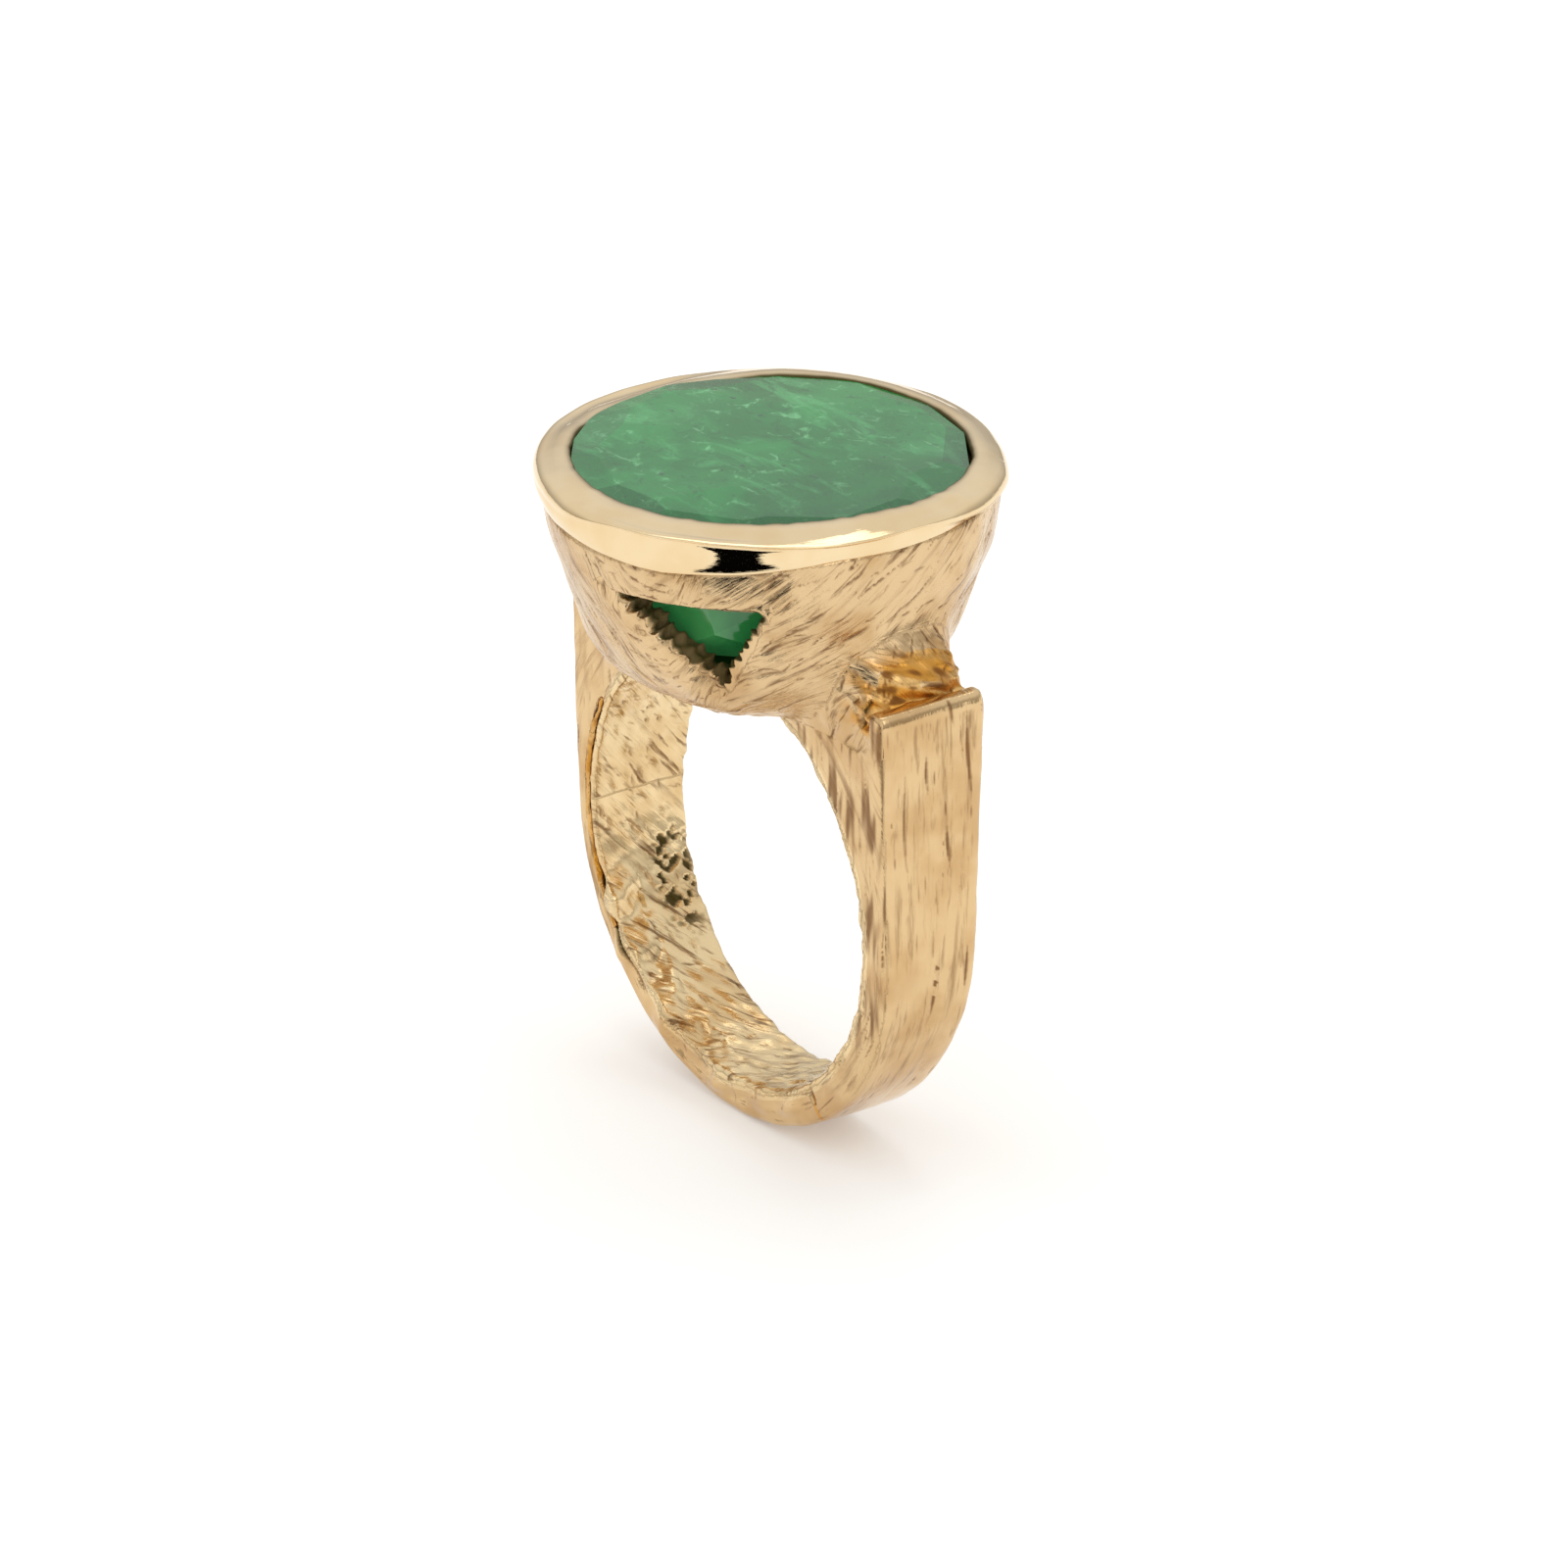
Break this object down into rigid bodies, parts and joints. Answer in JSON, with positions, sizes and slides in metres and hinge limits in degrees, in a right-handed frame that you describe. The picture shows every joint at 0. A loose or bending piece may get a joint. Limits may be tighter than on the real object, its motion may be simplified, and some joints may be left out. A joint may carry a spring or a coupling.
{
  "type": "cocktail ring",
  "caption": "Gold cocktail ring with a large oval emerald in a rolled bezel, a carved cup with triangular windows and a squared stirrup band.",
  "frame": {"origin": "centre of the finger hole", "axes": "+Y along the finger hole, +Z through the stone, +X towards the ring's right shoulder"},
  "size_m": [0.0202, 0.018, 0.0271],
  "materials": {
    "stone": "cloudy faceted emerald, polished",
    "polished_gold": "hand-polished yellow gold",
    "satin_gold": "satin yellow gold with brown-filled gouges",
    "carved_gold": "carved yellow gold, brown patina in the cuts",
    "dark_gold": "unpolished gold, darkened",
    "solder_gold": "rough deep-yellow gold solder"
  },
  "bodies": {
    "root": {"emerald": "stone", "bezel_collar": "polished_gold", "stone_seat": "dark_gold", "setting_cup": "carved_gold", "neck_right": "carved_gold", "neck_left": "carved_gold", "shoulder_solder_right": "solder_gold", "shoulder_solder_left": "solder_gold", "inner_band": "carved_gold", "strap_left": "satin_gold", "strap_right": "satin_gold", "sizing_seam": "solder_gold", "liner_solder": "solder_gold"}
  },
  "joints": []
}
